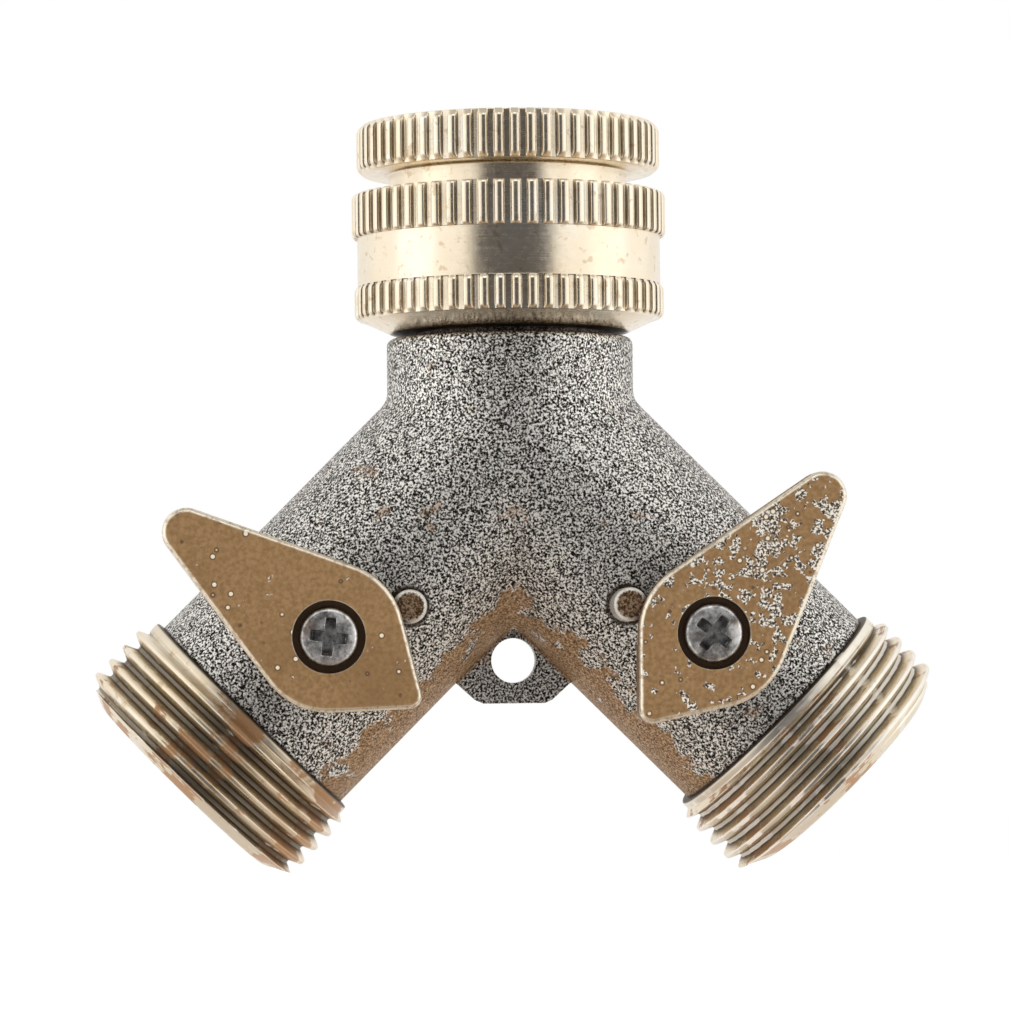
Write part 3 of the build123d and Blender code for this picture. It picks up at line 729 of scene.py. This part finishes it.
def make_lever(side, name, node, body, tip_angle, seed):
    """Cast lever: rounded rim, faintly uneven face, screw pocket, square hole, and stop tracks underneath."""
    sx, sz = side * 24.7 * C45, -RISE - 24.7 * C45
    at = frame_of((sx, 0, sz), (0, -1, 0), (math.cos(math.radians(tip_angle)), 0, math.sin(math.radians(tip_angle))))
    circles = [(0.0, 6.85), (16.0, 2.2), (-9.0, 1.2)]
    low, top, floor = 14.3, 17.5, 15.9
    # columns spaced evenly along the rim
    ra = [hull_radius(circles, 2 * math.pi * k / 1440) for k in range(1440)]
    px = [(r * math.cos(2 * math.pi * k / 1440), r * math.sin(2 * math.pi * k / 1440)) for k, r in enumerate(ra)]
    length = [0.0]
    for k in range(1440):
        x0, y0 = px[k]
        x1, y1 = px[(k + 1) % 1440]
        length.append(length[-1] + math.hypot(x1 - x0, y1 - y0))
    count = 264
    angles = []
    j = 0
    for i in range(count):
        want = length[-1] * i / count
        while length[j + 1] < want:
            j += 1
        f = (want - length[j]) / max(1e-9, length[j + 1] - length[j])
        angles.append(2 * math.pi * (j + f) / 1440)
    tracks = []
    for a0, a1 in ((13.0, 137.5), (222.5, 347.0)):
        tracks.append((math.radians(a0), math.radians(a1)))
    cols = []
    edges = [e for tr in tracks for e in tr]
    for a in angles:
        if min(abs(a - e) for e in edges) > 0.004:
            cols.append((a, any(t0 < a < t1 for t0, t1 in tracks)))
    for t0, t1 in tracks:
        cols += [(t0, False), (t0 + 1e-5, True), (t1 - 1e-5, True), (t1, False)]
    cols.sort(key=lambda c: c[0])

    def inner(a, d):
        return hull_radius([(cx, max(0.02, r - d)) for cx, r in circles], a)

    cap = 0.58
    verts, faces = [], []
    rows = []
    for a, in_track in cols:
        R = inner(a, 0.0)
        column = []
        # underside, from the square hole outwards
        sq = min(2.6, 2.1 / max(abs(math.cos(a)), abs(math.sin(a))))
        column.append((floor - 0.02, sq))
        column.append((low + 0.12, sq))
        column.append((low, sq + 0.12))
        column.append((low, 4.5))
        if in_track:
            out = min(R - 0.05, 9.6)
            column += [(low, 6.12), (low + 0.08, 6.2), (floor - 0.1, 6.2), (floor, 6.3), (floor, (6.3 + out) / 2 + 0.02)]
            if R > 9.8:
                column += [(floor, 9.5), (floor - 0.1, 9.6), (low + 0.08, 9.6), (low, 9.68), (low, R - 0.12), (low + 0.03, R - 0.04), (low + 0.12, R)]
            else:
                column += [(floor, out - 0.06), (floor, out - 0.03), (floor, out - 0.02), (floor, out - 0.01), (floor, out), (floor + 0.03, R - 0.015), (floor + 0.08, R)]
        else:
            m = 6.2
            column += [(low, m - 0.08), (low, m), (low, m + (R - m) * 0.1), (low, m + (R - m) * 0.2), (low, m + (R - m) * 0.35)]
            column += [(low, m + (R - m) * 0.5), (low, m + (R - m) * 0.62), (low, m + (R - m) * 0.74), (low, m + (R - m) * 0.86), (low, R - 0.12), (low + 0.03, R - 0.04), (low + 0.12, R)]
        # side wall
        y0 = column[-1][0]
        for f in (0.25, 0.5, 0.75):
            column.append((lerp(y0, top - cap, f), R))
        # rounded rim
        for i in range(0, 9):
            q = math.radians(90 * i / 8)
            d = cap * (1 - math.cos(q))
            column.append((top - cap + cap * math.sin(q), inner(a, d)))
        # face, inwards to the screw pocket
        R1 = column[-1][1]
        for f in (0.03, 0.08, 0.16, 0.26, 0.37, 0.48, 0.59, 0.70, 0.80, 0.88, 0.94):
            column.append((top, lerp(R1, 3.46, f)))
        column += [(top, 3.46), (top - 0.015, 3.40), (top - 0.05, 3.345), (top - 0.11, 3.31), (top - 0.2, 3.30)]
        column += [(lerp(top - 0.2, floor + 0.1, f), 3.30) for f in (0.33, 0.66, 1.0)]
        column += [(floor + 0.03, 3.28), (floor, 3.2), (floor, (3.2 + sq) / 2), (floor, sq + 0.02)]
        rows.append(column)
    n = len(rows[0])
    m = len(rows)
    assert all(len(c) == n for c in rows)
    import random
    rng = random.Random(seed)
    dents = [(rng.uniform(-9, 17), rng.uniform(-5, 5), rng.uniform(0.12, 0.3), rng.uniform(0.02, 0.06)) for _ in range(26)]
    wave = [(rng.uniform(0.25, 0.9), rng.uniform(0, 6.28), rng.uniform(0, 6.28)) for _ in range(6)]

    def lift(x, y, t):
        """Casting unevenness of the outer face, in mm, never above the nominal face."""
        w = 0.0
        for k, p, d in wave:
            w += 0.5 + 0.5 * math.sin(k * (x * math.cos(d) + y * math.sin(d)) + p)
        z = -0.028 * w / len(wave)
        for cx, cy, cr, cd in dents:
            q = math.hypot(x - cx, y - cy) / cr
            if q < 1:
                z -= cd * soft(1 - q)
        return z * ramp(t, top - 0.25, top)

    for (a, tr), column in zip(cols, rows):
        for (t, r) in column:
            tt = t
            if t > top - 0.3 and r > 3.3:
                tt = t + lift(r * math.cos(a), r * math.sin(a), t)
            verts.append(at(tt, r, a))
    for i in range(m):
        j = (i + 1) % m
        for k in range(n):
            l = (k + 1) % n
            faces.append((i * n + k, i * n + l, j * n + l, j * n + k))
    return new_piece(name, verts, faces, body, [node], M_lever[side], sharp=52)


make_lever(-1, "left_lever_cast", "left_lever", "left_valve", 143.1, 11)
make_lever(1, "right_lever_cast", "right_lever", "right_valve", 50.8, 23)


# ------------------------------------------------------------------ lever screws
def make_screw(side, name, node, body, turn):
    """Pan head with a tapered cross recess, on a threaded shank."""
    sx, sz = side * 24.7 * C45, -RISE - 24.7 * C45
    at = frame_of((sx, 0, sz), (0, -1, 0), (1, 0, 0))
    head_r, low, top = 2.65, 15.9, 17.76
    segs = 240
    ca = math.radians(turn)

    def dome(r):
        f = min(1.0, r / head_r)
        z = top - 0.36 * f ** 2.4
        if r > head_r - 0.32:
            q = (r - (head_r - 0.32)) / 0.32
            z -= 0.36 * (1 - math.sqrt(max(0.0, 1 - q * q)))
        return z

    def recess(r, a):
        u, v = r * math.cos(a - ca), r * math.sin(a - ca)
        best = 0.0
        for p, q in ((abs(u), abs(v)), (abs(v), abs(u))):
            half = 0.50 - 0.07 * ramp(p, 0.0, 1.75)
            wall = soft(1 - ramp(q, half - 0.06, half + 0.06))
            end = soft(1 - ramp(p, 1.52, 1.80))
            best = max(best, wall * end)
        # small fillet where the arms meet
        core = soft(1 - ramp(math.hypot(u, v), 0.62, 0.86))
        best = max(best, core)
        depth = 1.30 - 0.30 * min(1.0, r / 1.7)
        return best * depth

    verts, faces = [], []
    rings = [0.05 * i for i in range(1, 47)] + [2.34, 2.4, 2.46, 2.52, 2.57, 2.61, 2.635, 2.648]
    verts.append(at(dome(0) - recess(0, 0), 0.0, 0.0))
    for r in rings:
        for k in range(segs):
            a = 2 * math.pi * k / segs
            verts.append(at(dome(r) - (recess(r, a) if r < 2.2 else 0.0), r, a))
    for k in range(segs):
        faces.append((0, 1 + k, 1 + (k + 1) % segs))
    rows = [(16.9, head_r), (16.7, head_r), (16.4, head_r), (16.1, head_r), (15.98, 2.64), (15.92, 2.6), (low, 2.52),
            (low, 2.0), (low, 1.5), (15.86, 1.28), (15.8, 1.2)]
    t = 15.7
    i = 0
    while t > 11.7:
        rows.append((t, 1.21 if i % 2 == 0 else 1.03))
        t -= 0.225
        i += 1
    rows += [(11.6, 1.0), (11.4, 0.8), (11.32, 0.5)]
    base = len(rings)
    for (tt, rr) in rows:
        for k in range(segs):
            a = 2 * math.pi * k / segs
            verts.append(at(tt, rr, a))
    total = base + len(rows)
    for i in range(total - 1):
        for k in range(segs):
            l = (k + 1) % segs
            b0, b1 = 1 + i * segs, 1 + (i + 1) * segs
            faces.append((b0 + k, b0 + l, b1 + l, b1 + k))
    last = len(verts)
    verts.append(at(11.3, 0.0, 0.0))
    b = 1 + (total - 1) * segs
    for k in range(segs):
        faces.append((last, b + (k + 1) % segs, b + k))
    return new_piece(name, verts, faces, body, [node], M_steel, sharp=55)


make_screw(-1, "left_cross_screw", "left_lever_screw", "left_valve", 82.0)
make_screw(1, "right_cross_screw", "right_lever_screw", "right_valve", 52.0)


# ------------------------------------------------------------------ stage
FRONT = (0.105, 0.103, 0.108)
PANEL = (1.04, 1.02, 0.995)
REAR = (0.92, 0.91, 0.90)
TOP = (0.55, 0.54, 0.53)
BELOW_FRONT = (0.20, 0.142, 0.102)
BELOW_SIDE = (0.50, 0.41, 0.33)


def make_floor():
    me = bpy.data.meshes.new("floor")
    s, z = 3.0, -0.24
    me.from_pydata([(-s, -s, z), (s, -s, z), (s, s, z), (-s, s, z)], [], [(0, 1, 2, 3)])
    ob = bpy.data.objects.new("floor", me)
    bpy.context.scene.collection.objects.link(ob)
    m = bpy.data.materials.new("floor_white")
    m.use_nodes = True
    b = m.node_tree.nodes["Principled BSDF"]
    b.inputs["Base Color"].default_value = (0.93, 0.93, 0.93, 1)
    b.inputs["Roughness"].default_value = 0.9
    b.inputs["Emission Color"].default_value = (1, 1, 1, 1)
    b.inputs["Emission Strength"].default_value = 0.75
    me.materials.append(m)
    ob.visible_glossy = False
    return ob


def make_world():
    """Studio sky: unlit warm side behind the camera, bright panels left and right, softer top and back."""
    w = bpy.data.worlds.new("studio")
    bpy.context.scene.world = w
    w.use_nodes = True
    nt = w.node_tree
    nt.nodes.clear()
    out = nt.nodes.new("ShaderNodeOutputWorld")
    tc = nt.nodes.new("ShaderNodeTexCoord")
    sep = nt.nodes.new("ShaderNodeSeparateXYZ")
    nt.links.new(tc.outputs["Generated"], sep.inputs[0])

    def math_node(op, x, y=None):
        n = nt.nodes.new("ShaderNodeMath")
        n.operation = op
        for i, v in enumerate((x, y)):
            if v is None:
                continue
            if isinstance(v, (int, float)):
                n.inputs[i].default_value = v
            else:
                nt.links.new(v, n.inputs[i])
        return n.outputs[0]

    def mapr(v, a0, a1, b0, b1):
        n = nt.nodes.new("ShaderNodeMapRange")
        n.interpolation_type = "SMOOTHSTEP"
        n.inputs["From Min"].default_value = a0
        n.inputs["From Max"].default_value = a1
        n.inputs["To Min"].default_value = b0
        n.inputs["To Max"].default_value = b1
        nt.links.new(v, n.inputs["Value"])
        return n.outputs[0]

    def mixc(a, b, f):
        n = nt.nodes.new("ShaderNodeMix")
        n.data_type = "RGBA"
        for s, v in ((n.inputs[6], a), (n.inputs[7], b)):
            if isinstance(v, tuple):
                s.default_value = (v[0], v[1], v[2], 1)
            else:
                nt.links.new(v, s)
        nt.links.new(f, n.inputs[0])
        return n.outputs[2]

    x, y, z = sep.outputs
    away = math_node("ARCTAN2", math_node("ABSOLUTE", x), math_node("MULTIPLY", y, -1.0))   # 0 in front, pi behind
    level = math_node("ARCSINE", z)
    deg = math.radians
    flank = mapr(away, deg(24), deg(37), 0.0, 1.0)
    rear = mapr(away, deg(118), deg(138), 0.0, 1.0)
    low = mapr(level, deg(-52), deg(-14), 1.0, 0.0)
    high = mapr(level, deg(38), deg(66), 0.0, 1.0)
    col = mixc(FRONT, PANEL, flank)
    col = mixc(col, REAR, rear)
    col = mixc(col, TOP, high)
    col = mixc(col, mixc(BELOW_FRONT, BELOW_SIDE, flank), low)
    seen = nt.nodes.new("ShaderNodeLightPath")
    bg = nt.nodes.new("ShaderNodeBackground")
    nt.links.new(mixc(col, (1.0, 1.0, 1.0), seen.outputs["Is Camera Ray"]), bg.inputs["Color"])
    bg.inputs["Strength"].default_value = 1.0
    nt.links.new(bg.outputs[0], out.inputs[0])


def area(name, loc, target, size, power, color=(1, 1, 1)):
    d = bpy.data.lights.new(name, "AREA")
    d.shape = "RECTANGLE"
    d.size, d.size_y = size
    d.energy = power
    d.color = color
    ob = bpy.data.objects.new(name, d)
    ob.location = loc
    ob.rotation_mode = "QUATERNION"
    ob.rotation_quaternion = (Vector(target) - Vector(loc)).to_track_quat("-Z", "Y")
    bpy.context.scene.collection.objects.link(ob)
    return ob


make_floor()
make_world()
mid = (0, 0, -0.036)
area("soft_left", (-0.42, -0.10, 0.05), mid, (0.26, 0.34), 0.07, (1.0, 0.99, 0.97))
area("soft_right", (0.42, -0.10, 0.05), mid, (0.26, 0.34), 0.06, (1.0, 0.99, 0.97))
area("soft_top", (0.0, -0.34, 0.36), mid, (0.30, 0.22), 0.28, (1.0, 0.99, 0.97))

# ------------------------------------------------------------------ camera
cam_data = bpy.data.cameras.new("camera")
cam = bpy.data.objects.new("camera", cam_data)
bpy.context.scene.collection.objects.link(cam)
cam_data.sensor_width = 36.0
cam_data.lens = 142.6
cam_data.clip_start, cam_data.clip_end = 0.01, 20.0
az, el, roll, dist = math.radians(-2.7), math.radians(-1.9), math.radians(-0.6), 0.380
target = Vector((-0.0006, 0.0, -0.0361))
back = Vector((math.sin(az) * math.cos(el), -math.cos(az) * math.cos(el), math.sin(el)))
cam.location = target + back * dist
cam.rotation_mode = "QUATERNION"
look = (-back).to_track_quat("-Z", "Y")
cam.rotation_quaternion = look @ Matrix.Rotation(roll, 3, "Z").to_quaternion()
bpy.context.scene.camera = cam
bpy.context.scene.view_settings.view_transform = "Standard"
bpy.context.scene.view_settings.look = "None"
